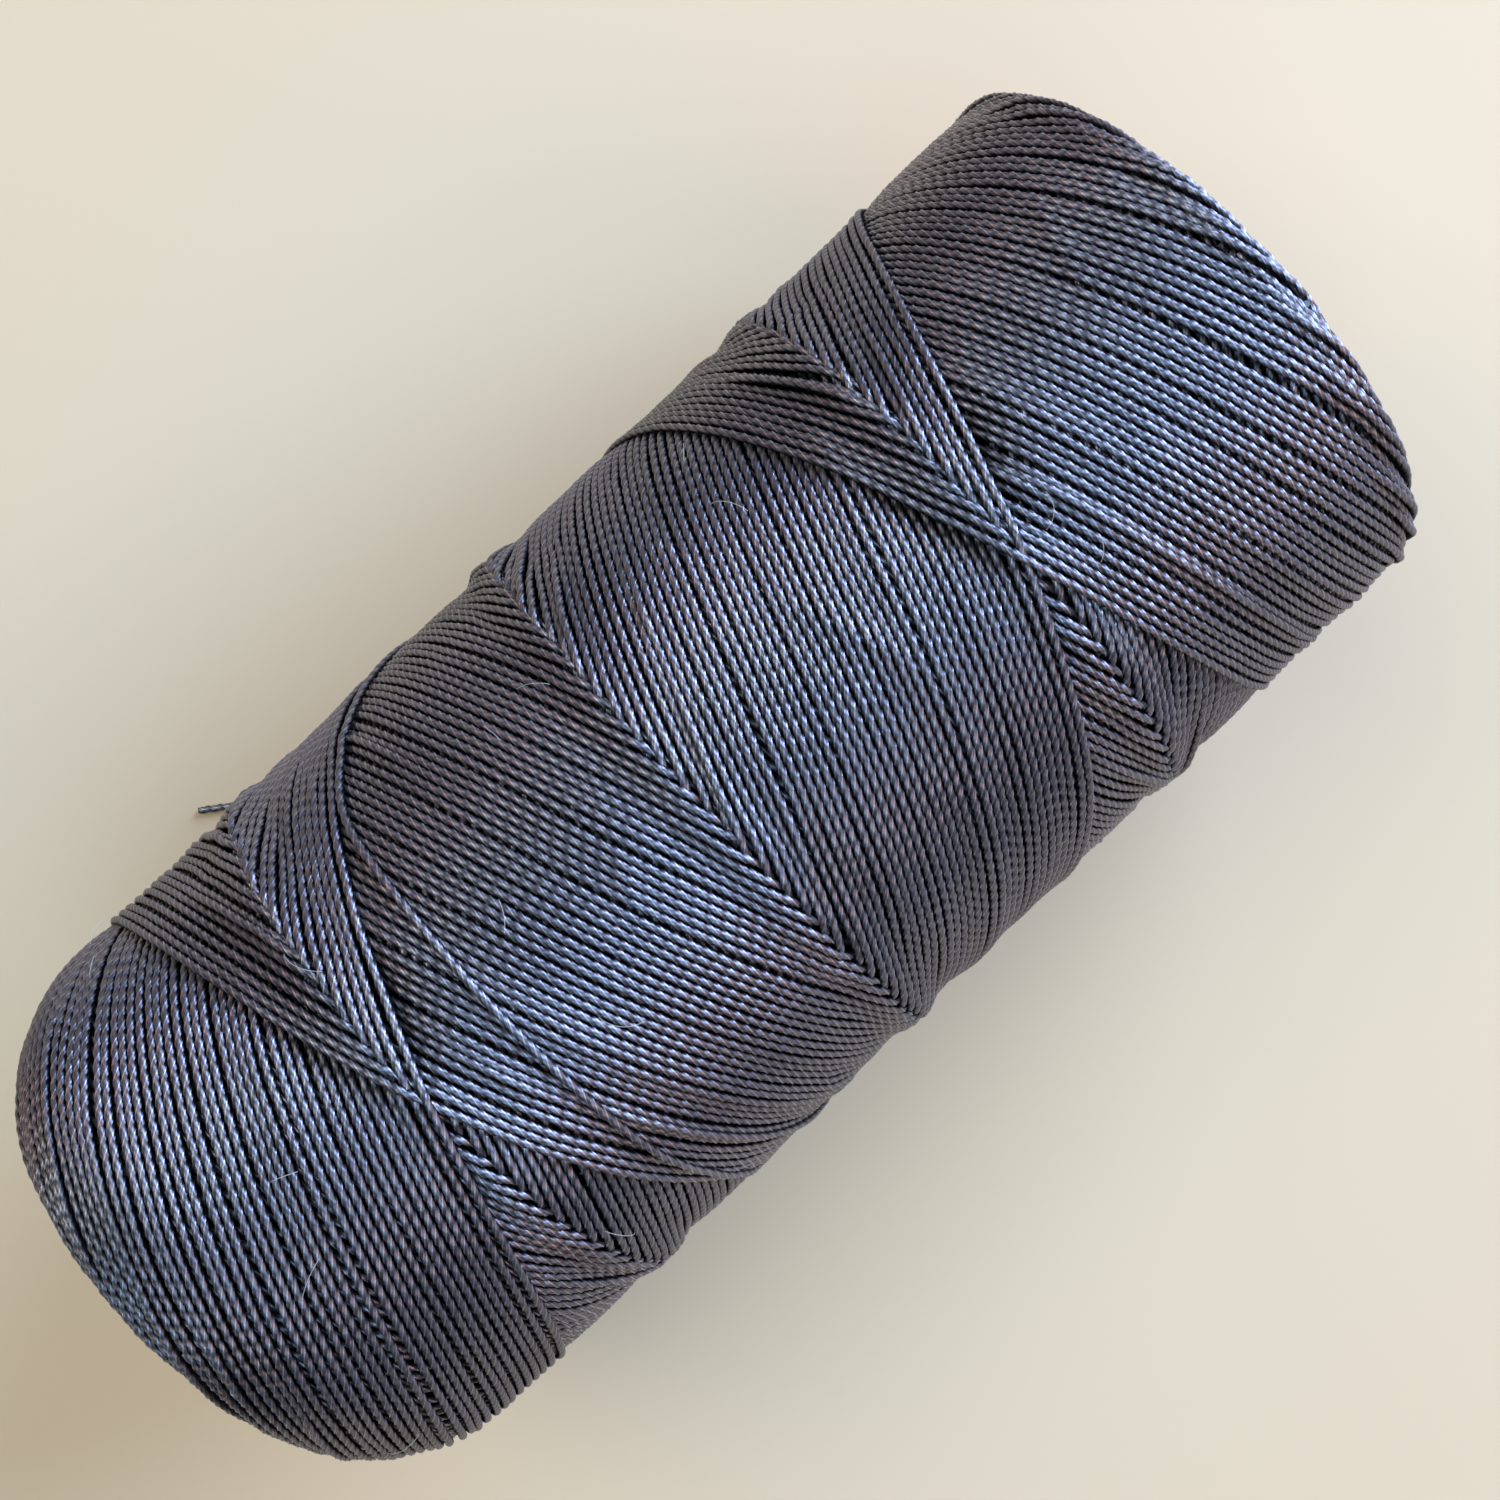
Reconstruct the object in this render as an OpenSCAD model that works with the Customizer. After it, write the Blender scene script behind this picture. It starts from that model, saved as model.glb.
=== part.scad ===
// A cross-wound spool of twisted thread, lying on its side.
// X runs along the spool, Z is up, and the origin is under the middle of its length.
// The inner layers are one plain wound body. The last turns are one unbroken thread over it.

/* [Thread] */
// Diameter of the thread
thread_d = 0.8; // [0.6:0.05:1]
// Clear gap where one leg of the thread crosses over another
crossing_gap = 0.45; // [0.42:0.01:0.5]

/* [Winding] */
// Diameter over the last turns
winding_d = 60; // [52:1:80]
// Length of the full-diameter stretch between the shoulders
straight_l = 112; // [80:0.5:160]
// Length of the long left shoulder, along the spool
left_shoulder_l = 12.25; // [9:0.25:15]
// Drop of the long left shoulder, towards the tube
left_shoulder_h = 10.5; // [8:0.25:11]
// Radius of the short right shoulder
right_shoulder_r = 3.25; // [3:0.25:7]
// Double strokes of the traverse in the last turns
double_strokes = 6; // [3, 4, 6]

/* [Core tube] */
// Bore of the paper tube
bore_d = 22; // [16:0.5:24]
// Wall of the paper tube
tube_wall = 2; // [1:0.25:2.5]
// Length of bare tube past the wound body's ends
tube_overhang = 4.6; // [4:0.1:8]

/* [Hidden] */
$fn = 96;
cord_sides = 6;
rings_per_turn = 24;
turns_per_double_stroke = 4;
ring_angle = 360 / rings_per_turn;
// Turns every ring a little, so that none stands exactly upright or level
first_angle = 2;
// The last turns reach this far round each shoulder, in degrees of its arc
left_reach = 68;
right_reach = 62;
// Below 1, this rounds the turning points of the traverse
stroke_softness = 0.995;
// Rings over which the thread changes layer at a turning point
layer_change = 3;
// The thread's ends stay this many rings apart
end_gap_rings = 4;
seat_gap = 0.06;

winding_r = winding_d / 2;
// A cord of straight runs cuts each corner by this much, so the wound body lies clear below it
chord_sag = winding_r * (1 - cos(ring_angle / 2));
layer_step = thread_d + crossing_gap;
body_depth = 2 * thread_d + crossing_gap + chord_sag + seat_gap;
rest_cut = thread_d / 10;
axis_z = winding_r - rest_cut;

left_x = straight_l / 2 - (left_shoulder_l - right_shoulder_r) / 2;
right_x = straight_l / 2 + (left_shoulder_l - right_shoulder_r) / 2;
left_roll = (left_shoulder_l + left_shoulder_h) / 2;
body_left_l = left_shoulder_l - body_depth;
body_left_h = left_shoulder_h - body_depth;
body_right_r = right_shoulder_r - body_depth;

tube_r = bore_d / 2 + tube_wall;
tube_left_x = -left_x - body_left_l - tube_overhang;
tube_right_x = right_x + body_right_r + tube_overhang;

// The tube is centred on the origin along X
shift_x = -(tube_left_x + tube_right_x) / 2;

drift_rings = rings_per_turn / double_strokes;
stroke_rings = rings_per_turn * turns_per_double_stroke - drift_rings;
half_stroke = stroke_rings / 2;
quarter_stroke = stroke_rings / 4;

// Places along the wound surface where the traverse turns back
turn_left = -left_x - left_roll * left_reach * PI / 180;
turn_right = right_x + right_shoulder_r * right_reach * PI / 180;
traverse_mid = (turn_left + turn_right) / 2;
traverse_half = (turn_right - turn_left) / 2;

// The first and the last ring lie on the outer leg, between two crossings
first_ring = 2 * round(half_stroke / 2);
last_ring = first_ring + double_strokes * stroke_rings - end_gap_rings;

// Place along the surface at a ring, a triangle wave with soft turning points
function surface_s(i) =
    traverse_mid + traverse_half * asin(stroke_softness * sin(360 * i / stroke_rings)) / asin(stroke_softness);

// Rings from the middle of the nearest inner leg
function from_inner(i) =
    let (k = i - stroke_rings * floor(i / stroke_rings))
    min(k, stroke_rings - k);

// 1 on an inner leg, 0 on an outer leg, and a ramp between them at each turning point
function inner_share(i) =
    max(0, min(1, (quarter_stroke + layer_change / 2 - from_inner(i)) / layer_change));

function leg_depth(i) = thread_d / 2 + layer_step * inner_share(i);

// [x, radius] on the wound surface at place s, at a depth below it
function on_surface(s, depth) =
    s < -left_x ?
        let (t = (-left_x - s) / left_roll * 180 / PI)
        [-left_x - (left_shoulder_l - depth) * sin(t),
         winding_r - left_shoulder_h + (left_shoulder_h - depth) * cos(t)]
    : s > right_x ?
        let (t = (s - right_x) / right_shoulder_r * 180 / PI)
        [right_x + (right_shoulder_r - depth) * sin(t),
         winding_r - right_shoulder_r + (right_shoulder_r - depth) * cos(t)]
    : [s, winding_r - depth];

// Angle of a ring about the spool's axis
function turned(i) = first_angle + i * ring_angle;

// Point at an angle about the spool's axis, from the top towards -Y
function about_axis(x, r, angle) = [x, -r * sin(angle), r * cos(angle)];

function ring_centre(i) =
    let (p = on_surface(surface_s(i), leg_depth(i)))
    about_axis(p[0], p[1], turned(i));

// An end of the thread: up from the wound body for one diameter, then round into its leg
function end_route(i, way) =
    let (p = on_surface(surface_s(i), leg_depth(i)),
         bend_r = p[1] - (winding_r - body_depth) - thread_d,
         foot_r = winding_r - body_depth,
         turn = way * 180 / PI * bend_r / p[1])
    [about_axis(p[0], foot_r, turned(i)),
     about_axis(p[0], foot_r + thread_d, turned(i)),
     about_axis(p[0], p[1] - bend_r * (1 - sin(45)), turned(i) + turn * (1 - cos(45))),
     about_axis(p[0], p[1], turned(i) + turn)];

function reversed(list) = [for (k = [len(list) - 1:-1:0]) list[k]];

function turns_route() = concat(
    end_route(first_ring, 1),
    [for (i = [first_ring + 1:last_ring - 1]) ring_centre(i)],
    reversed(end_route(last_ring, -1)));

function unit(v) = v / norm(v);

// Direction of the route at a point. Its two ends keep the direction of their straight run.
function direction(route, i) =
    let (n = len(route) - 1)
    i == 0 ? unit(route[1] - route[0])
    : i == n ? unit(route[n] - route[n - 1])
    : unit(unit(route[i + 1] - route[i]) + unit(route[i] - route[i - 1]));

// Across the thread, along the spool's length, which is never along the thread
function across(tangent) = unit([1, 0, 0] - tangent * tangent[0]);

module swept_cord(route, d) {
    last = len(route) - 1;
    points = [for (i = [0:last])
        let (t = direction(route, i), side = across(t), out = cross(t, side))
        for (k = [0:cord_sides - 1])
            let (a = 360 * (k + 0.5) / cord_sides)
            route[i] + d / 2 * (cos(a) * side + sin(a) * out)];
    walls = [for (i = [0:last - 1]) for (k = [0:cord_sides - 1])
        let (a = i * cord_sides + k,
             b = i * cord_sides + (k + 1) % cord_sides)
        each [[a, a + cord_sides, b], [b, a + cord_sides, b + cord_sides]]];
    start_cap = [for (k = [1:cord_sides - 2]) [0, k, k + 1]];
    end_base = last * cord_sides;
    end_cap = [for (k = [1:cord_sides - 2]) [end_base, end_base + k + 1, end_base + k]];
    polyhedron(points = points, faces = concat(walls, start_cap, end_cap));
}

// Least distance between parts of the route that aren't neighbours along it, less the diameter
function least_gap(route, d) =
    let (skip = 10, n = len(route))
    min([for (i = [0:n - 1 - skip]) for (j = [i + skip:n - 1]) norm(route[i] - route[j])]) - d;

module along_x() {
    translate([shift_x, 0, axis_z]) rotate([0, 90, 0]) children();
}

module core_tube() {
    color([0.72, 0.62, 0.48])
    along_x()
    translate([0, 0, tube_left_x])
    difference() {
        cylinder(r = tube_r, h = tube_right_x - tube_left_x);
        translate([0, 0, -1]) cylinder(d = bore_d, h = tube_right_x - tube_left_x + 2);
    }
}

// Half outline of the wound body, [radius, x], from its left face over both shoulders
function body_outline() =
    let (r = winding_r - body_depth, steps = 8)
    concat(
        [[tube_r, -left_x - body_left_l]],
        [for (k = [steps:-1:0])
            let (t = 90 * k / steps)
            [r - body_left_h * (1 - cos(t)), -left_x - body_left_l * sin(t)]],
        [for (k = [0:steps])
            let (t = 90 * k / steps)
            [r - body_right_r * (1 - cos(t)), right_x + body_right_r * sin(t)]],
        [[tube_r, right_x + body_right_r]]);

module wound_thread() {
    color([0.24, 0.27, 0.34])
    along_x()
    rotate_extrude() polygon(body_outline());
}

module outer_turns() {
    route = turns_route();
    echo(loops = (last_ring - first_ring) / rings_per_turn, least_gap = least_gap(route, thread_d));
    color([0.34, 0.39, 0.49])
    difference() {
        translate([shift_x, 0, axis_z]) swept_cord(route, thread_d);
        translate([-winding_d * 2, -winding_r, -winding_r]) cube([winding_d * 4, winding_d, winding_r]);
    }
}

core_tube();
wound_thread();
outer_turns();
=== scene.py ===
import bpy
import bmesh
import math
import numpy as np
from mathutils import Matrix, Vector


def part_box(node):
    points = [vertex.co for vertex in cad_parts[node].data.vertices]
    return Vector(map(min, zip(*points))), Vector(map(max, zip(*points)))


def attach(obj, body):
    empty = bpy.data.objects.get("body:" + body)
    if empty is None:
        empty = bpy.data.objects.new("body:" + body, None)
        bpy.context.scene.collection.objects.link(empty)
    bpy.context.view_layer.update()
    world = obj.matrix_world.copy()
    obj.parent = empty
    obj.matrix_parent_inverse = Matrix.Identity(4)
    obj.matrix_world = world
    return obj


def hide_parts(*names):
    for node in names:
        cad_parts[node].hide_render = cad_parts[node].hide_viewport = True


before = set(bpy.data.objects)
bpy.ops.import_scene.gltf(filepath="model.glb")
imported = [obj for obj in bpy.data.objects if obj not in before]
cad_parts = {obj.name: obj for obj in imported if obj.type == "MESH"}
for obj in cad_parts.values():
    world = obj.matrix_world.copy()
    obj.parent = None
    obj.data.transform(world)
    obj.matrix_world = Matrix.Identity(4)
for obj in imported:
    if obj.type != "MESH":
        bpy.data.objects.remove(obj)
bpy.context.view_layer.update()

mm = 0.001
scene = bpy.context.scene
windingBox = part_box("outer_turns")
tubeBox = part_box("core_tube")
axisHeight = (tubeBox[0].z + tubeBox[1].z) / 2 / mm     # mm above the floor
tubeRadius = (tubeBox[1].y - tubeBox[0].y) / 2 / mm

thread = {                      # mm
    "width": 0.81,              # over the three plies
    "lay": 4.2,                 # one full twist
    "groove": 0.84,             # radius in the groove between two plies, as a share
    "contact": 0.355,           # radius at which two threads press on each other
}

winding = {                     # lengths in mm, angles in degrees
    "radius": (windingBox[1].y - windingBox[0].y) / 2 / mm,
    "leftStart": 51.5,          # where the long shoulder starts, left of the middle
    "leftLength": 12.25,        # its length along the spool
    "leftDrop": 10.5,           # and its drop towards the tube
    "rightStart": 61.7,         # where the short shoulder starts
    "rightRound": 2.4,          # and its radius
    "turnsPerStroke": 2,
    "drift": 4.85,              # angle that each double stroke falls behind
    "doubleStrokes": 88,
    "lastTurnAngle": 186.0,     # where the last double stroke turns, from the top towards -Y
    "middle": 1.15,             # middle and half length of the guide's stroke, along the surface
    "halfStroke": 61.8,
    "softness": 0.9985,         # below 1, rounds the turning points
    "leftOverrun": 3.6,         # the thread's slip past the guide at each end
    "leftOverrunWidth": 85.0,   # and the angle over which it comes and goes
    "rightOverrun": 1.7,
    "rightOverrunWidth": 50.0,
    "leftScatter": 0.5,         # length over which the turning points are spread
    "rightScatter": 0.5,
    "scatterWidth": 75,         # and the angle to each side over which it fades
    "legStray": 0.09,           # how far a leg lies off its even place
    "wavers": ((0.06, 90), (0.04, 27)),     # how far the thread wavers, and over how many steps
    "beddingLength": 1.4,       # reach over which piled-up thread is pressed flat, along and round
    "beddingAngle": 4.5,
    "sunk": 0.8,                # how deep the thread's middle lies below the wound surface
    "level": -0.75,             # height of most turns
    "levelled": 0.45,           # share by which the crossings stand less above it
    "settled": 0.6,             # share by which uneven heights are levelled at the turning points
    "leftSettling": 6,          # where this starts, past the start of each shoulder
    "rightSettling": -1,
    "settlingLength": 4,
    "seed": 7,
}

lastStrand = {                  # the last leg, from where it leaves its course
    "angles": (75, 40, 10, -45, -70, -100),             # of its bends, from the top towards -Y
    "places": (-21.9, -21.9, -21.6, -15.5, -7.0),       # mm along the surface, of all but the first
}

columns = 576                   # steps round the spool
stepAngle = 360 / columns
cell = 0.2                      # mm along the surface
gridStart = -80.0
gridSize = 800
goldenShare = 0.618             # spreads neighbours evenly
period = 360 * 2 * winding["turnsPerStroke"] - winding["drift"]


def woundSurface(s):
    # the wound surface at a place s along it: x, radius, and which way is out
    w = winding
    leftRoll = (w["leftLength"] + w["leftDrop"]) / 2
    left = np.clip((-w["leftStart"] - s) / leftRoll, 0, math.pi / 2)
    right = np.clip((s - w["rightStart"]) / w["rightRound"], 0, math.pi / 2)
    x = np.clip(s, -w["leftStart"], w["rightStart"])
    x = x - w["leftLength"] * np.sin(left) + w["rightRound"] * np.sin(right)
    r = w["radius"] - w["leftDrop"] * (1 - np.cos(left)) - w["rightRound"] * (1 - np.cos(right))
    r = r - np.maximum(-w["leftStart"] - leftRoll * math.pi / 2 - s, 0)
    r = r - np.maximum(s - w["rightStart"] - w["rightRound"] * math.pi / 2, 0)
    return x, r, np.sin(right) - np.sin(left), np.cos(left) * np.cos(right)


def pointOver(s, angle, height):
    # a point over the wound surface, in metres in the frame
    x, r, outX, outR = woundSurface(s)
    x = x + outX * height
    r = r + outR * height
    turn = np.radians(angle)
    z = np.maximum(axisHeight + r * np.cos(turn), thread["width"] / 2)
    return np.stack([x, -r * np.sin(turn), z], axis=-1) * mm


def outward(s, angle, share=1.0):
    # which way is out there, shorter where less light reaches; the thread's colour is darkened by it as
    # painted shade
    outX, outR = woundSurface(s)[2:]
    turn = np.radians(angle)
    away = np.stack([outX, -outR * np.sin(turn), outR * np.cos(turn)], axis=-1)
    return away * np.broadcast_to(share, np.shape(s))[..., None]


def traverse(turned):
    # place of the thread guide after this much turning, in degrees from a left turning point
    w = winding
    phase = 2 * math.pi * turned / period
    swing = -np.arcsin(w["softness"] * np.cos(phase)) / math.asin(w["softness"])
    fromLeft = (turned + period / 2) % period - period / 2
    fromRight = turned % period - period / 2
    return (w["middle"] + w["halfStroke"] * swing
            - w["leftOverrun"] * np.exp(-(fromLeft / w["leftOverrunWidth"]) ** 2)
            + w["rightOverrun"] * np.exp(-(fromRight / w["rightOverrunWidth"]) ** 2))


def smoothNoise(rng, count, spacing):
    # random values that change slowly from one to the next
    knots = rng.normal(size=int(count / spacing) + 4)
    at = np.arange(count) / spacing
    k = at.astype(int)
    f = at - k
    f = f * f * (3 - 2 * f)
    return knots[k] * (1 - f) + knots[k + 1] * f


def smoothed(values, size):
    kernel = np.hanning(size + 2)[1:-1]
    padded = np.pad(values, size // 2, mode="edge")
    return np.convolve(padded, kernel / kernel.sum(), mode="valid")


def tautOver(heights, step, bend):
    # a taut thread over these contact heights, on a cylinder of radius bend
    n = len(heights)
    lift = (np.arange(n) * step) ** 2 / (2 * bend)
    g = (heights - lift).tolist()
    hull = [0]
    for i in range(1, n):
        while len(hull) > 1:
            a, b = hull[-2], hull[-1]
            if (g[b] - g[a]) * (i - a) <= (g[i] - g[a]) * (b - a):
                hull.pop()
            else:
                break
        hull.append(i)
    return np.interp(np.arange(n), hull, [g[k] for k in hull]) + lift


def lastLeg(turned, s):
    # the last leg leaves its course and ends as a stray strand
    ends = np.array(lastStrand["angles"])
    reached = turned[-1] + (ends[-1] - ends)
    places = np.array([traverse(reached[0]), *lastStrand["places"]])
    bent = np.interp(turned, reached, places)
    bendSteps = 47
    return np.where(turned > reached[0], smoothed(bent, bendSteps), s)


def threadCourse(turned):
    # place of the thread along the surface at each step, before it slides on what lies beneath
    w = winding
    rng = np.random.default_rng(w["seed"])
    count = len(turned)
    legBlend = 91               # steps from one leg's stray to the next
    s = traverse(turned)
    leg = np.floor(turned / (period / 2)).astype(int)
    s += sum(size * smoothNoise(rng, count, steps) for size, steps in w["wavers"])
    s += smoothed(rng.normal(0, w["legStray"], leg.max() + 1)[leg], legBlend)
    turnNumber = np.round(turned / period * 2).astype(int)      # even at the left end, odd at the right
    spread = (turnNumber * goldenShare) % 1 - 0.5
    fromTurn = turned - turnNumber * period / 2
    scatter = np.where(turnNumber % 2 == 0, w["leftScatter"], w["rightScatter"])
    s += scatter * spread * np.exp(-(fromTurn / w["scatterWidth"]) ** 2)
    return lastLeg(turned, s)


def layersBeneath(gridS, firstAngle):
    # each place lies lower the sooner its next two threads come
    gridAngle = stepAngle * np.arange(columns)
    stroke = np.arange(0, period, stepAngle)
    guide = traverse(stroke)
    half = len(stroke) // 2
    lefts = np.interp(gridS, guide[:half], stroke[:half])
    top = np.zeros((gridSize, columns))
    for turnAt in (lefts, period - lefts):
        ahead = (gridAngle[None, :] - (firstAngle - turnAt)[:, None]) % 360
        top += 2 * thread["contact"] * (ahead / 360 - 1)
    return top


def bedding():
    # a blur over the wound surface, as wide as the thread beds in
    fs = np.fft.fftfreq(gridSize * 2, cell)[:, None]
    fa = np.fft.rfftfreq(columns, stepAngle)[None, :]
    along, around = fs * winding["beddingLength"], fa * winding["beddingAngle"]
    fade = np.exp(-2 * math.pi ** 2 * (along ** 2 + around ** 2))

    def blur(a):
        padded = np.zeros((gridSize * 2, columns))
        padded[:gridSize] = a
        return np.fft.irfft2(np.fft.rfft2(padded) * fade, s=padded.shape)[:gridSize]

    return blur


def nearest(s):
    return np.round((s - gridStart) / cell).astype(int)


def windThread():
    # winds the thread on step by step: place, angle and height of each step, and which ones show
    w = winding
    endTurn = (w["doubleStrokes"] - 0.5) * period + w["lastTurnAngle"] + 360 - lastStrand["angles"][-1]
    count = int(endTurn / stepAngle)
    turned = np.arange(count) * stepAngle
    s = threadCourse(turned)
    firstAngle = w["lastTurnAngle"] + (w["doubleStrokes"] - 1) * period
    column = (int(round(firstAngle / stepAngle)) - np.arange(count)) % columns

    gridS = gridStart + cell * np.arange(gridSize)
    top = layersBeneath(gridS, firstAngle)
    owner = np.full((gridSize, columns), -1)
    blur = bedding()
    wound = ((gridS > s.min()) & (gridS < s.max())).astype(float)[:, None] * np.ones(columns)
    leastShare = 1e-3
    woundShare = np.maximum(blur(wound), leastShare)

    r = thread["contact"]
    reach = int(r / cell) + 1
    unreached = -9.0
    batch = columns // 2        # steps wound on at once
    lookAhead = 72              # steps past them that already hold the thread up
    slant, wider = 1.05, 1.12   # a leg's longer steps and its wider bend, against a straight turn
    stepLength = math.radians(stepAngle) * w["radius"] * slant
    slide = 0.12                # mm to each side at which the thread feels for a slope
    slip, mostSlip, slipBlend = 0.15, 0.2, 13

    def contact(where, col):
        near = nearest(where)
        best = np.full(len(where), unreached)
        for k in range(-reach, reach + 1):
            u = (near + k) * cell + gridStart - where
            inside = np.abs(u) < r
            rise = np.sqrt(np.maximum(r * r - u * u, 0))
            best = np.where(inside, np.maximum(best, top[near + k, col] + rise), best)
        return best - swell[near, col]

    height = np.zeros(count)
    nextBedding = 0
    for first in range(0, count, batch):
        if turned[first] >= nextBedding:
            swell = blur(top * wound) / woundShare      # what has piled up, and is pressed down again
            nextBedding += period / 2
        last = min(first + batch, count)
        ahead = min(last + lookAhead, count)
        sNow = s[first:ahead]
        col = column[first:ahead]
        slope = (contact(sNow + slide, col) - contact(sNow - slide, col)) / (2 * slide)
        s[first:ahead] = sNow = sNow + smoothed(np.clip(-slip * slope, -mostSlip, mostSlip), slipBlend)
        raw = contact(sNow, col)
        if first:
            raw[0] = height[first - 1] - swell[nearest(s[first - 1:first]), column[first - 1]][0]
        taut = tautOver(raw, stepLength, w["radius"] * wider)
        where = s[first:last]
        col = column[first:last]
        near = nearest(where)
        height[first:last] = taut[: last - first] + swell[near, col]
        for k in range(-reach, reach + 1):
            u = (near + k) * cell + gridStart - where
            rise = height[first:last] + np.sqrt(np.maximum(r * r - u * u, 0))
            hit = (np.abs(u) < r) & (rise > top[near + k, col])
            top[near[hit] + k, col[hit]] = rise[hit]
            owner[near[hit] + k, col[hit]] = np.arange(first, last)[hit]

    seen = np.bincount(owner[owner >= 0], minlength=count) > 1
    swell = blur(top * wound) / woundShare
    height = height - swell[np.clip(nearest(s), 0, gridSize - 1), column] - w["sunk"]
    height -= w["levelled"] * np.maximum(height - w["level"], 0)
    past = np.maximum(-w["leftStart"] - w["leftSettling"] - s, s - w["rightStart"] - w["rightSettling"])
    height *= 1 - w["settled"] * np.clip(past / w["settlingLength"], 0, 1)
    print("winding:", count, "steps,", int(seen.sum()), "of them seen")
    return s, column * stepAngle, height, seen


def runs(flags, least):
    # stretches of one value, as (first, last, value), with short hidden ones taken as seen
    edges = np.flatnonzero(np.diff(flags.astype(int))) + 1
    bounds = [0, *edges.tolist(), len(flags)]
    out = []
    for a, b in zip(bounds[:-1], bounds[1:]):
        value = bool(flags[a])
        if not value and b - a < least:
            value = True
        if out and out[-1][2] == value:
            out[-1][1] = b
        else:
            out.append([a, b, value])
    return out


class Tree:
    # a small helper for building node trees
    def __init__(self, tree):
        self.tree = tree

    def fill(self, made, values):
        for key, value in values.items():
            if isinstance(value, bpy.types.NodeSocket):
                self.tree.links.new(value, made.inputs[key])
            else:
                made.inputs[key].default_value = value
        return made

    def node(self, kind, values=None, **settings):
        made = self.tree.nodes.new(kind)
        for key, value in settings.items():
            setattr(made, key, value)
        return self.fill(made, values or {})

    def math(self, operation, *values):
        return self.node("ShaderNodeMath", dict(enumerate(values)), operation=operation).outputs[0]

    def store(self, geometry, name, value, kind):
        return self.node("GeometryNodeStoreNamedAttribute",
                         {"Geometry": geometry, "Name": name, "Value": value},
                         data_type=kind, domain="POINT").outputs[0]

    def named(self, name):
        return self.node("GeometryNodeInputNamedAttribute", {"Name": name}, data_type="FLOAT").outputs[0]

    def ramp(self, value, dark, light):
        made = self.node("ShaderNodeValToRGB", {"Fac": value})
        for end, colour in zip(made.color_ramp.elements, (dark, light)):
            end.color = (*colour, 1)
        return made.outputs["Color"]


def cordTree():
    # sweeps a plied or a plain section along every line of the mesh
    group = bpy.data.node_groups.new("sweepThread", "GeometryNodeTree")
    group.interface.new_socket("Geometry", in_out="OUTPUT", socket_type="NodeSocketGeometry")
    for name, kind, default in (
            ("Geometry", "Geometry", None),
            ("Thread width", "Float", thread["width"] * mm),
            ("Lay length", "Float", thread["lay"] * mm),
            ("Ply groove", "Float", thread["groove"]),
            ("Plain", "Bool", False),
            ("Material", "Material", None)):
        socket = group.interface.new_socket(name, in_out="INPUT", socket_type="NodeSocket" + kind)
        if default is not None:
            socket.default_value = default
    t = Tree(group)
    src = t.node("NodeGroupInput").outputs
    line = t.node("GeometryNodeMeshToCurve", {0: src["Geometry"]}).outputs[0]
    along = t.node("GeometryNodeSplineParameter").outputs["Length"]
    twist = t.math("MULTIPLY", t.math("DIVIDE", along, src["Lay length"]), 2 * math.pi)
    tilt = t.math("ADD", twist, t.named("phase"))
    line = t.node("GeometryNodeSetCurveTilt", {"Curve": line, "Tilt": tilt}).outputs[0]
    line = t.store(line, "along", along, "FLOAT")
    line = t.store(line, "fibre", t.node("GeometryNodeInputTangent").outputs[0], "FLOAT_VECTOR")

    # three plies, each with a crest between two grooves
    index = t.node("GeometryNodeInputIndex").outputs[0]
    groove = t.math("MODULO", index, 2.0)
    turn = t.math("MULTIPLY", index, math.pi / 3)
    cut = t.math("MULTIPLY", groove, t.math("SUBTRACT", 1.0, src["Ply groove"]))
    half = t.math("MULTIPLY", src["Thread width"], 0.5)
    radius = t.math("MULTIPLY", t.math("SUBTRACT", 1.0, cut), half)
    corner = t.node("ShaderNodeCombineXYZ", {0: t.math("MULTIPLY", t.math("COSINE", turn), radius),
                                             1: t.math("MULTIPLY", t.math("SINE", turn), radius)})
    ring = t.node("GeometryNodeCurvePrimitiveCircle", {"Resolution": 6}).outputs[0]
    plied = t.node("GeometryNodeSetPosition", {"Geometry": ring, "Position": corner.outputs[0]}).outputs[0]
    plainRadius = t.math("MULTIPLY", src["Thread width"], 0.45)
    plain = t.node("GeometryNodeCurvePrimitiveCircle", {"Resolution": 5, "Radius": plainRadius}).outputs[0]
    section = t.node("GeometryNodeSwitch", {"Switch": src["Plain"], "False": plied, "True": plain},
                     input_type="GEOMETRY").outputs[0]
    scaled = t.node("ShaderNodeVectorMath",
                    {0: t.node("GeometryNodeInputPosition").outputs[0], "Scale": 2 / (thread["width"] * mm)},
                    operation="SCALE").outputs[0]
    section = t.store(section, "section", scaled, "FLOAT_VECTOR")
    section = t.store(section, "groove", groove, "FLOAT")
    swept = t.node("GeometryNodeCurveToMesh",
                   {"Curve": line, "Profile Curve": section, "Fill Caps": True}).outputs[0]

    # smooth all over but along the grooves
    smooth = t.node("GeometryNodeSetShadeSmooth", {"Geometry": swept}).outputs[0]
    inGroove = t.math("GREATER_THAN", t.named("groove"), 0.75)
    sharp = t.math("MULTIPLY", inGroove, t.math("SUBTRACT", 1.0, src["Plain"]))
    smooth = t.node("GeometryNodeSetShadeSmooth",
                    {"Geometry": smooth, "Selection": sharp, "Shade Smooth": False},
                    domain="EDGE").outputs[0]
    real = t.node("GeometryNodeRealizeInstances", {"Geometry": smooth}).outputs[0]
    done = t.node("GeometryNodeSetMaterial", {"Geometry": real, "Material": src["Material"]}).outputs[0]
    t.node("NodeGroupOutput", {0: done})
    return group


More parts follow.
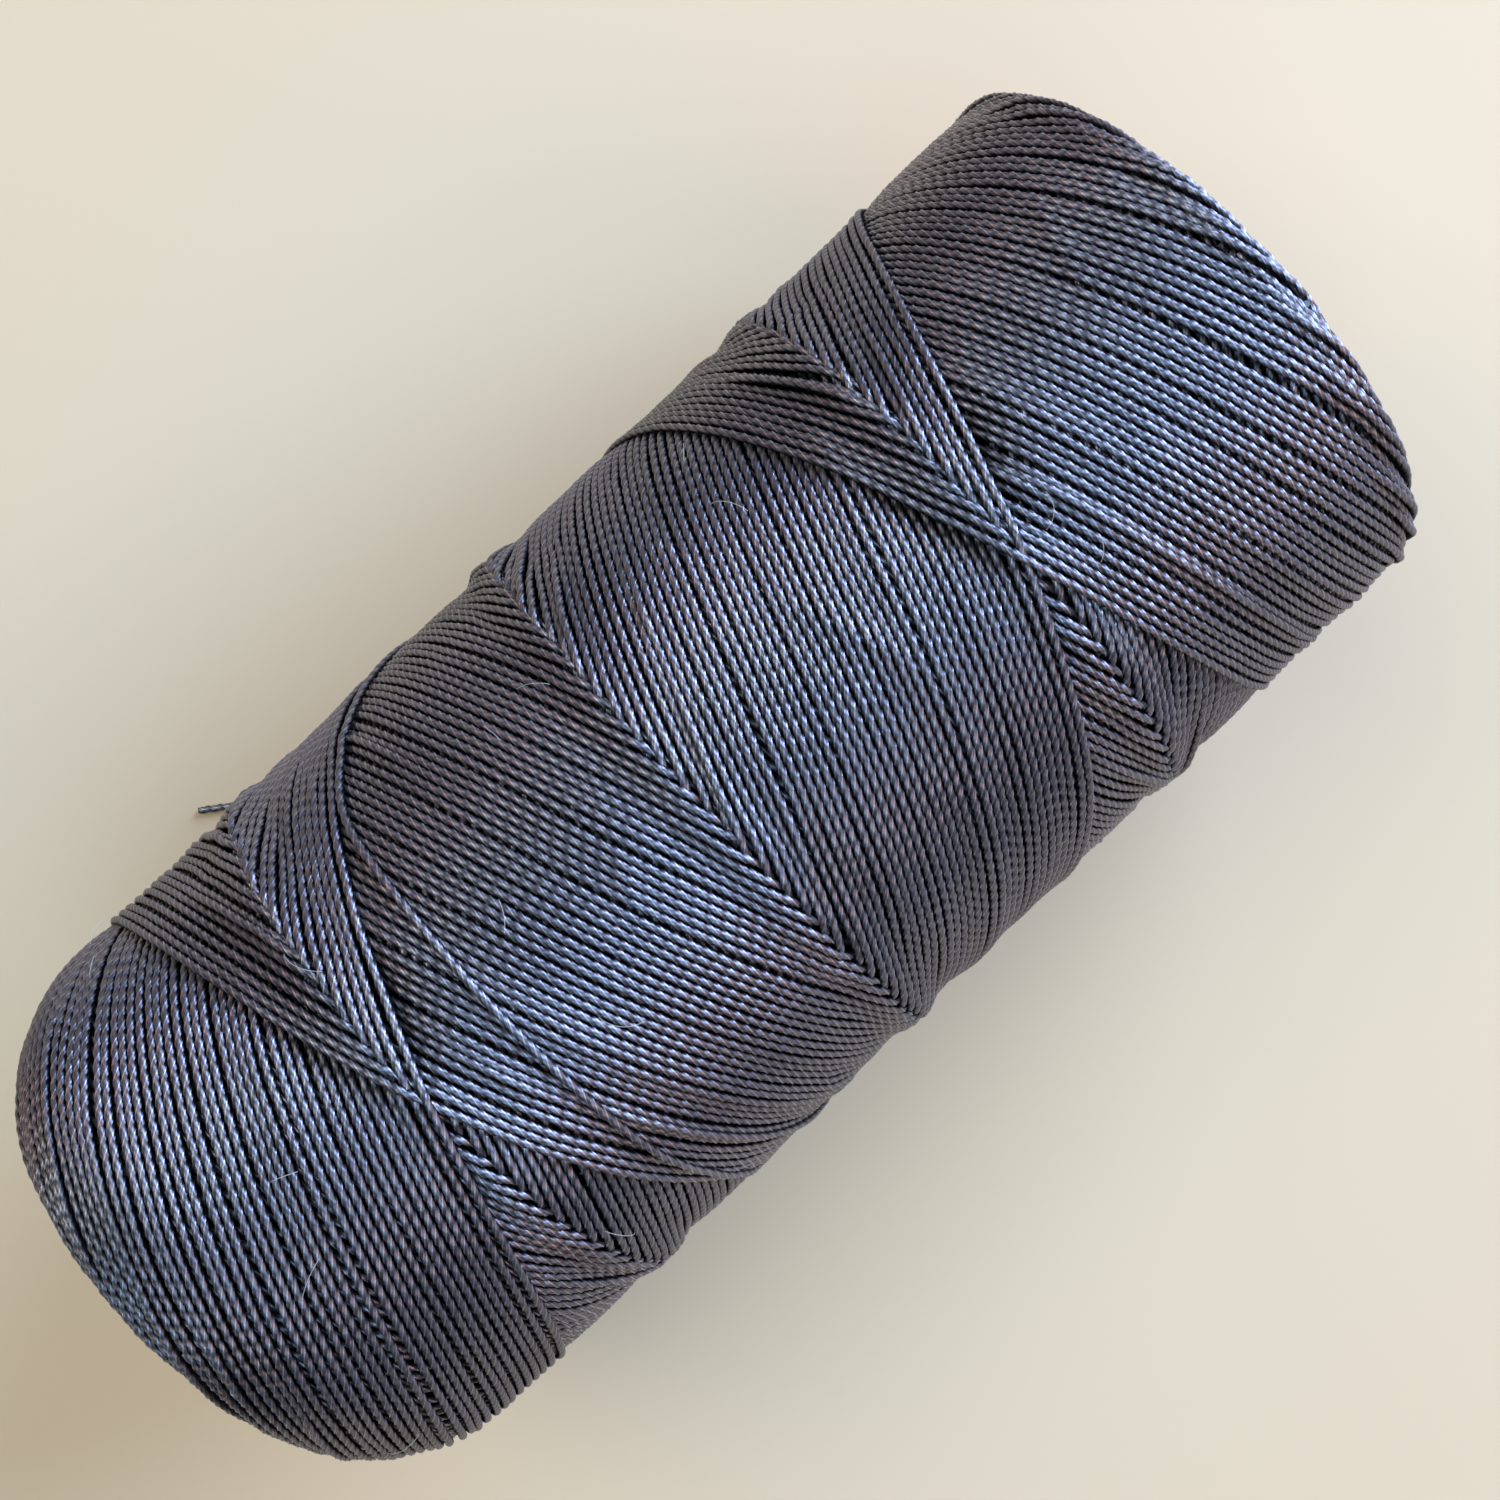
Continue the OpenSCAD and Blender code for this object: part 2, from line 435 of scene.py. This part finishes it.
def lineMesh(name, lines, phases, aways):
    # open lines of points as one mesh of edges
    points = np.concatenate(lines)
    ends = np.cumsum([len(line) for line in lines])
    starts = ends - [len(line) for line in lines]
    keep = np.ones(len(points), bool)
    keep[ends - 1] = False
    first = np.flatnonzero(keep)
    mesh = bpy.data.meshes.new(name)
    mesh.from_pydata(points.tolist(), np.stack([first, first + 1], axis=1).tolist(), [])
    phase = mesh.attributes.new("phase", "FLOAT", "POINT")
    values = np.concatenate([np.full(b - a, p) for a, b, p in zip(starts, ends, phases)])
    phase.data.foreach_set("value", values.astype(np.float32))
    away = mesh.attributes.new("outward", "FLOAT_VECTOR", "POINT")
    away.data.foreach_set("vector", np.concatenate(aways).astype(np.float32).ravel())
    return mesh


def applied(holder, tree, values, name):
    # runs a node tree on an object and keeps the result as a plain mesh
    modifier = holder.modifiers.new("nodes", "NODES")
    modifier.node_group = tree
    sockets = {i.name: i.identifier for i in tree.interface.items_tree if i.in_out == "INPUT"}
    for key, value in values.items():
        modifier[sockets[key]] = value
    scene.collection.objects.link(holder)
    bpy.context.view_layer.update()
    graph = bpy.context.evaluated_depsgraph_get()
    mesh = bpy.data.meshes.new_from_object(holder.evaluated_get(graph), preserve_all_data_layers=True,
                                           depsgraph=graph)
    mesh.name = name
    bpy.data.objects.remove(holder)
    made = bpy.data.objects.new(name, mesh)
    scene.collection.objects.link(made)
    return made


def sweep(name, lines, phases, aways, material, plain=False, width=thread["width"]):
    holder = bpy.data.objects.new(name + "Lines", lineMesh(name + "Lines", lines, phases, aways))
    values = {"Thread width": width * mm, "Lay length": thread["lay"] * mm,
              "Ply groove": thread["groove"], "Plain": plain, "Material": material}
    return applied(holder, sweepTree, values, name)


def newMaterial(name):
    made = bpy.data.materials.new(name)
    made.use_nodes = True
    return made, Tree(made.node_tree), made.node_tree.nodes["Principled BSDF"]


nylonLook = {
    "dark": (0.095, 0.086, 0.10),
    "light": (0.66, 0.61, 0.70),
    "filaments": 0.45,          # share of each pattern in the shade between dark and light
    # painted shade: darker in the grooves between the plies, lighter on their crests
    "paintedPlyShade": 0.6,
    "patches": 0.35,
    "darker": 0.3,              # and what is taken off it
    "filamentWidth": 4.0,       # fineness of the filaments round the thread, and along it
    "filamentLength": 600.0,
    "patchScale": 60.0,
    "facing": (0.1, 0.66),      # from full shadow to full light, by how far the surface faces out
    "shadow": 0.12,             # share of the colour in full shadow
    "roughness": (0.26, 0.36),
    "metallic": 0.72,
    "anisotropic": 0.7,
    "bump": 0.05,               # mm
}


def threadMaterial():
    look = nylonLook
    made, t, shader = newMaterial("twistedNylon")
    section = t.node("ShaderNodeAttribute", attribute_name="section").outputs["Vector"]
    along = t.node("ShaderNodeAttribute", attribute_name="along").outputs["Fac"]
    away = t.node("ShaderNodeAttribute", attribute_name="outward").outputs["Vector"]
    fibre = t.node("ShaderNodeAttribute", attribute_name="fibre").outputs["Vector"]
    fromMiddle = t.node("ShaderNodeVectorMath", {0: section}, operation="LENGTH").outputs["Value"]
    # painted shade: the colour is darker in the grooves between the plies and lighter on their crests
    paintedPlyShade = t.node("ShaderNodeMapRange",
                    {"Value": fromMiddle, "From Min": thread["groove"]}).outputs["Result"]

    # filaments: a pattern that is fine round the thread and long along it
    parts = t.node("ShaderNodeSeparateXYZ", {0: section}).outputs
    stretched = t.node("ShaderNodeCombineXYZ", {
        0: t.math("MULTIPLY", parts[0], look["filamentWidth"]),
        1: t.math("MULTIPLY", parts[1], look["filamentWidth"]),
        2: t.math("MULTIPLY", along, look["filamentLength"])}).outputs[0]
    filaments = t.node("ShaderNodeTexNoise",
                       {"Vector": stretched, "Scale": 1.0, "Detail": 2.0}).outputs["Fac"]
    whereabouts = t.node("ShaderNodeTexCoord").outputs["Object"]
    patches = t.node("ShaderNodeTexNoise",
                     {"Vector": whereabouts, "Scale": look["patchScale"], "Detail": 3.0}).outputs["Fac"]
    shade = t.math("MULTIPLY", paintedPlyShade, look["paintedPlyShade"])
    shade = t.math("MULTIPLY_ADD", filaments, look["filaments"], shade)
    shade = t.math("MULTIPLY_ADD", patches, look["patches"], shade)
    shade = t.node("ShaderNodeMath", {0: shade, 1: look["darker"]},
                   operation="SUBTRACT", use_clamp=True).outputs[0]
    colour = t.ramp(shade, look["dark"], look["light"])

    # painted shade: the colour is darkened on the flanks of a thread and on what lies deep between the turns
    normal = t.node("ShaderNodeNewGeometry").outputs["Normal"]
    facing = t.node("ShaderNodeVectorMath", {0: normal, 1: away}, operation="DOT_PRODUCT").outputs["Value"]
    light = t.node("ShaderNodeMapRange",
                   {"Value": facing, "From Min": look["facing"][0], "From Max": look["facing"][1],
                    "To Min": look["shadow"], "To Max": 1.0}).outputs["Result"]
    colour = t.node("ShaderNodeVectorMath", {0: colour, "Scale": light}, operation="SCALE").outputs["Vector"]
    rough = t.node("ShaderNodeMapRange",
                   {"Value": filaments, "To Min": look["roughness"][0],
                    "To Max": look["roughness"][1]}).outputs["Result"]
    bump = t.node("ShaderNodeBump",
                  {"Strength": 0.5, "Distance": look["bump"] * mm, "Height": filaments}).outputs["Normal"]
    t.fill(shader, {"Base Color": colour, "Roughness": rough, "Normal": bump, "IOR": 1.53,
                    "Metallic": look["metallic"], "Anisotropic": look["anisotropic"],
                    "Anisotropic Rotation": 0.25, "Tangent": fibre})
    return made


boardLook = {
    "dark": (0.30, 0.19, 0.10),
    "light": (0.52, 0.37, 0.22),
    "fibreScale": 900.0,
    "roughness": 0.85,
    "bump": 0.1,                # mm
}


def boardMaterial():
    look = boardLook
    made, t, shader = newMaterial("kraftBoard")
    whereabouts = t.node("ShaderNodeTexCoord").outputs["Object"]
    fibres = t.node("ShaderNodeTexNoise",
                    {"Vector": whereabouts, "Scale": look["fibreScale"], "Detail": 5.0}).outputs["Fac"]
    bump = t.node("ShaderNodeBump",
                  {"Strength": 0.4, "Distance": look["bump"] * mm, "Height": fibres}).outputs["Normal"]
    t.fill(shader, {"Base Color": t.ramp(fibres, look["dark"], look["light"]),
                    "Roughness": look["roughness"], "Normal": bump})
    return made


def plainMaterial(name, colour, roughness, specular=0.5):
    made, t, shader = newMaterial(name)
    t.fill(shader, {"Base Color": (*colour, 1), "Roughness": roughness, "Specular IOR Level": specular})
    return made


camera = {
    "place": (0.00686, -0.0003, 0.19492),       # m
    "roll": -0.7598,            # radians, looking straight down
    "lens": 41.25,              # mm
}


def addCamera():
    data = bpy.data.cameras.new("camera")
    data.lens = camera["lens"]
    data.sensor_width = 36.0
    data.clip_start = 0.01
    made = bpy.data.objects.new("camera", data)
    made.location = camera["place"]
    made.rotation_euler = (0, 0, camera["roll"])
    scene.collection.objects.link(made)
    scene.camera = made


lamps = {                       # azimuth from +X towards +Y and height over the floor in degrees, and watts
    "window": {"azimuth": 0, "elevation": 24, "power": 22, "colour": (0.45, 0.64, 1.0),
               "size": (0.9, 0.6)},
    "skyLeft": {"azimuth": 122, "elevation": 61, "power": 3.2, "colour": (0.80, 0.98, 1.0)},
    "skyRight": {"azimuth": -122, "elevation": 61, "power": 3.6, "colour": (0.44, 0.72, 1.0)},
    "wallLeft": {"azimuth": 109, "elevation": 35, "power": 1.6, "colour": (1.0, 0.64, 0.50)},
    "wallRight": {"azimuth": -65, "elevation": 32, "power": 2.2, "colour": (1.0, 0.68, 0.54)},
}


def addLamp(name, azimuth, elevation, power, colour, size=(0.6, 0.6), distance=0.9):
    data = bpy.data.lights.new(name, "AREA")
    data.shape = "RECTANGLE"
    data.size, data.size_y = size
    data.energy = power
    data.color = colour
    made = bpy.data.objects.new(name, data)
    around, up = math.radians(azimuth), math.radians(elevation)
    away = Vector((math.cos(around) * math.cos(up), math.sin(around) * math.cos(up), math.sin(up)))
    made.location = Vector((0, 0, axisHeight * mm)) + distance * away
    made.rotation_euler = away.to_track_quat("Z", "Y").to_euler()
    scene.collection.objects.link(made)


stage = {"floor": (0.75, 0.56, 0.36), "floorSize": 6.0, "world": (0.80, 0.74, 0.70), "worldStrength": 0.03}


def addStage():
    bpy.ops.mesh.primitive_plane_add(size=stage["floorSize"], location=(0, 0, 0))
    floor = bpy.context.object
    floor.name = "floor"
    floor.data.materials.append(plainMaterial("plainFloor", stage["floor"], 0.7, specular=0.2))
    world = bpy.data.worlds.new("studio")
    scene.world = world
    world.use_nodes = True
    shade = world.node_tree.nodes["Background"]
    shade.inputs["Color"].default_value = (*stage["world"], 1)
    shade.inputs["Strength"].default_value = stage["worldStrength"]
    for name, lamp in lamps.items():
        addLamp(name, **lamp)


addCamera()
sweepTree = cordTree()
nylon = threadMaterial()
board = boardMaterial()
addStage()
scene.view_settings.view_transform = "Standard"
print("camera, lamps and materials are ready")


turnPieces = {                  # how the wound thread is shared out; counts are steps of the winding
    "faces": 185000,            # most faces of one piece
    "facesPerStep": 12,
    "longest": 2000,            # of one line, and the shortest
    "shortest": 4,
    "margin": 2,                # kept past what shows
    "gap": 9,                   # hidden stretches below this are kept whole
    "hidden": 8,                # hidden ones up to this are left out
    "hiddenStride": 6,          # and the others are this much coarser
    "hiddenLight": 0.3,         # share of the light that reaches them
    "deep": -1.75,              # mm, height at which no light is left
    "lightOver": 0.6,           # mm over which it comes back
    "leastLight": 0.25,
}


def shareOut(fine):
    # the lines of each piece, under the limit of faces
    p = turnPieces
    limit = p["faces"] // p["facesPerStep"]
    groups, group, size = [], [], 0
    for a, b in fine:
        while b - a > 1:
            take = min(b - a, p["longest"], limit - size)
            if take < min(b - a, p["shortest"]):
                groups.append(group)
                group, size = [], 0
                continue
            group.append((a, a + take))
            size += take
            a = a + take - 1 if a + take < b else b
            if size >= limit - p["shortest"]:
                groups.append(group)
                group, size = [], 0
    return [g for g in (*groups, group) if g]


def addWinding():
    p = turnPieces
    s, angle, height, seen = windThread()
    grown = seen.copy()
    for k in range(1, p["margin"] + 1):
        grown[k:] |= seen[:-k]
        grown[:-k] |= seen[k:]
    points = pointOver(s, angle, height)
    away = outward(s, angle, np.clip((height - p["deep"]) / p["lightOver"], p["leastLight"], 1))
    steps = np.linalg.norm(np.diff(points, axis=0), axis=1)
    length = np.concatenate([[0], np.cumsum(steps)])
    lay = thread["lay"] * mm
    fine, coarse = [], []
    for a, b, value in runs(grown, p["gap"]):
        if value:
            fine.append((a, b))
        else:
            coarse.append((max(a - 1, 0), min(b + 1, len(points))))
    pieces = []
    for group in shareOut(fine):
        name = "threadTurns%02d" % (len(pieces) + 1)
        phases = [2 * math.pi * length[a] / lay for a, b in group]
        pieces.append(sweep(name, [points[a:b] for a, b in group], phases,
                            [away[a:b] for a, b in group], nylon))
    stride = p["hiddenStride"]
    coarse = [(a, b) for a, b in coarse if b - a > p["hidden"]]
    under = [points[a:b:stride] for a, b in coarse]
    aways = [p["hiddenLight"] * away[a:b:stride] for a, b in coarse]
    pieces.append(sweep("threadTurnsBeneath", under, [0.0] * len(under), aways, nylon, plain=True))
    print("thread turns:", len(pieces), "pieces,", sum(len(o.data.polygons) for o in pieces), "faces")
    return pieces


endFace = {                     # arcs of the layers beneath, as they turn back; mm and degrees
    "start": 0.3,               # past the last turning points
    "clear": 0.35,              # from the tube
    "rowStep": 0.74,            # from row to row, towards the tube
    "mostRows": 40,
    "arcs": 11,                 # in each row, round the spool
    "rowTurn": 0.382,           # by which a row is turned against the last, in arcs
    "overlap": 0.22,            # of each arc's half past its even share
    "stray": (2.0, 1.5),        # of an arc's middle and of its half length
    "step": 0.36,               # length of one step
    "lean": 0.32,               # by which an arc's two ends lie askew
    "waver": 0.06,              # how far it wavers, and over how many steps
    "waverSteps": 20,
    "height": -0.4,             # over the wound surface
    "heightStray": 0.1,
    "diveFrom": 0.62,           # where an arc starts to dive at its two ends, as a share
    "dive": 1.1,                # and how deep
    "slip": 0.7,                # by which it nears the tube there
    "darker": 0.7,              # share of the light that it loses there
}


def addEndFaces():
    e = endFace
    rng = np.random.default_rng(winding["seed"] + 1)
    share = 360 / e["arcs"]
    pieces = []
    for side, name in ((-1, "Left"), (1, "Right")):
        reach = winding["halfStroke"] + winding[name.lower() + "Overrun"] + side * winding["middle"]
        lines, aways = [], []
        for row in range(e["mostRows"]):
            at = reach + e["start"] + row * e["rowStep"]
            radius = float(woundSurface(side * at)[1])
            if radius < tubeRadius + e["clear"]:
                break
            for arc in range(e["arcs"]):
                middle = (arc + (row * e["rowTurn"]) % 1) * share + rng.normal(0, e["stray"][0])
                half = share * (0.5 + e["overlap"]) + rng.normal(0, e["stray"][1])
                n = int(math.radians(2 * half) * radius / e["step"])
                t = np.linspace(-1, 1, n)
                dive = np.clip((np.abs(t) - e["diveFrom"]) / (1 - e["diveFrom"]), 0, 1) ** 2
                lean = e["lean"] * t + e["waver"] * smoothNoise(rng, n, e["waverSteps"])
                s = side * (at - lean + e["slip"] * dive)
                height = e["height"] - e["dive"] * dive - e["heightStray"] * rng.random()
                lines.append(pointOver(s, middle + half * t, height))
                aways.append(outward(s, middle + half * t, 1 - e["darker"] * dive))
        phases = rng.uniform(0, 2 * math.pi, len(lines)).tolist()
        pieces.append(sweep("threadTurnsEnd" + name, lines, phases, aways, nylon))
        print(name, "end:", len(lines), "arcs,", len(pieces[-1].data.polygons), "faces")
    return pieces


def lathe(name, outline, material, sides):
    # turns an outline of (x, radius) in mm about the spool's axis
    outline = np.array(outline, float)
    turn = np.linspace(0, 2 * math.pi, sides, endpoint=False)
    x = np.repeat(outline[:, 0][:, None], sides, axis=1)
    r = outline[:, 1][:, None]
    points = np.stack([x, -r * np.sin(turn), axisHeight + r * np.cos(turn)], axis=-1)
    a = np.arange(len(outline))[:, None] * sides + np.arange(sides)[None, :]
    b = np.roll(a, -1, axis=1)
    c, d = np.roll(a, -1, axis=0), np.roll(b, -1, axis=0)
    faces = np.stack([a, b, d, c], axis=-1).reshape(-1, 4)
    mesh = bpy.data.meshes.new(name)
    mesh.from_pydata((points.reshape(-1, 3) * mm).tolist(), [], faces.tolist())
    mesh.materials.append(material)
    made = bpy.data.objects.new(name, mesh)
    scene.collection.objects.link(made)
    shell = bmesh.new()
    shell.from_mesh(mesh)
    bmesh.ops.recalc_face_normals(shell, faces=shell.faces)
    shell.to_mesh(mesh)
    shell.free()
    mesh.shade_smooth()
    return made


innerLayers = {
    "depth": 2.0,               # mm below the wound surface
    "clear": 0.05,              # mm from the tube
    "beyond": 24,               # mm past the start of each shoulder, more than it takes
    "rings": 160,
    "sides": 128,
}


def addInnerLayers():
    # what shows between the turns: the layers beneath, as one closed body
    layers = innerLayers
    s = np.linspace(-winding["leftStart"] - layers["beyond"], winding["rightStart"] + layers["beyond"],
                    layers["rings"])
    x, r, outX, outR = woundSurface(s)
    x, r = x - outX * layers["depth"], r - outR * layers["depth"]
    bore = tubeRadius + layers["clear"]
    keep = r > bore
    outline = [(x[keep][0], bore), *zip(x[keep], r[keep]), (x[keep][-1], bore)]
    # With no outward direction stored on it, the thread material paints this body all in full painted shade.
    made = lathe("innerLayers", outline, nylon, layers["sides"])
    print("inner layers:", len(made.data.polygons), "faces")
    return made


tail = {                        # the thread's loose end, from under the spool out over the floor
    "points": ((-28, 16, 3.6), (-29.5, 20.5, 1.6), (-32.5, 27, 0.45),
               (-37, 33.4, 0.42), (-43.2, 37.8, 0.42)),         # mm
    "steps": 90,
}


def curved(points, count):
    # a smooth line through these points
    points = np.array(points, float)
    at = np.linspace(0, len(points) - 1, count)
    line = np.stack([np.interp(at, np.arange(len(points)), points[:, k]) for k in range(3)], axis=1)
    size = count // len(points)
    before = 2 * line[0] - line[size:0:-1]
    after = 2 * line[-1] - line[-2:-size - 2:-1]
    padded = np.concatenate([before, line, after])
    even = np.ones(size) / size
    smooth = np.stack([np.convolve(padded[:, k], even, mode="same") for k in range(3)], axis=1)
    return smooth[size:-size]


def addTail():
    line = curved(tail["points"], tail["steps"])
    # painted shade: the loose end's colour is darker where it faces away from straight up
    away = np.tile((0.0, 0.0, 1.0), (len(line), 1))
    made = sweep("threadTail", [line * mm], [0.0], [away], nylon)
    print("loose end:", len(made.data.polygons), "faces")
    return made


lint = {                        # mm and degrees
    "hairs": 16,
    "width": 0.045,
    "length": 4.5,              # of the longest, and the shortest as a share
    "shortest": 0.5,
    "lift": 0.8,                # of the highest, and the lowest as a share
    "lowest": 0.3,
    "rooted": 0.1,              # depth of both ends
    "curl": 0.9,
    "along": 56,                # how far from the middle and from the top they lie
    "around": 75,
    "steps": 14,
    "colour": (0.60, 0.56, 0.50),
    "roughness": 0.6,
    "seed": 11,
}


def addLint():
    # stray fibres that stand off the thread
    rng = np.random.default_rng(lint["seed"])
    perDegree = math.radians(winding["radius"])         # mm
    steps = lint["steps"]
    lines = []
    for hair in range(lint["hairs"]):
        s = rng.uniform(-lint["along"], lint["along"])
        angle = rng.uniform(-lint["around"], lint["around"])
        heading, bend = rng.uniform(0, 2 * math.pi), rng.normal(0, lint["curl"])
        t = np.linspace(0, 1, steps)
        size = lint["length"] * rng.uniform(lint["shortest"], 1.0)
        course = heading + bend * t
        ds = np.cumsum(np.cos(course)) * size / steps
        turned = np.cumsum(np.sin(course)) * size / steps / perDegree
        lift = lint["lift"] * rng.uniform(lint["lowest"], 1.0) * np.sin(math.pi * t) ** 0.7
        lines.append(pointOver(s + ds, angle + turned, lift - lint["rooted"]))
    aways = [np.zeros_like(line) for line in lines]
    fibre = plainMaterial("lintFibre", lint["colour"], lint["roughness"])
    made = sweep("lintHairs", lines, [0.0] * len(lines), aways, fibre, plain=True, width=lint["width"])
    print("lint:", len(lines), "hairs")
    return made


turns = addWinding()
ends = addEndFaces()
inner = addInnerLayers()
loose = addTail()
hairs = addLint()
for piece in [*turns, *ends, inner, loose, hairs]:
    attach(piece, "root")
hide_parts("wound_thread")
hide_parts("outer_turns")

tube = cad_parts["core_tube"]
tube.data.materials.clear()
tube.data.materials.append(board)
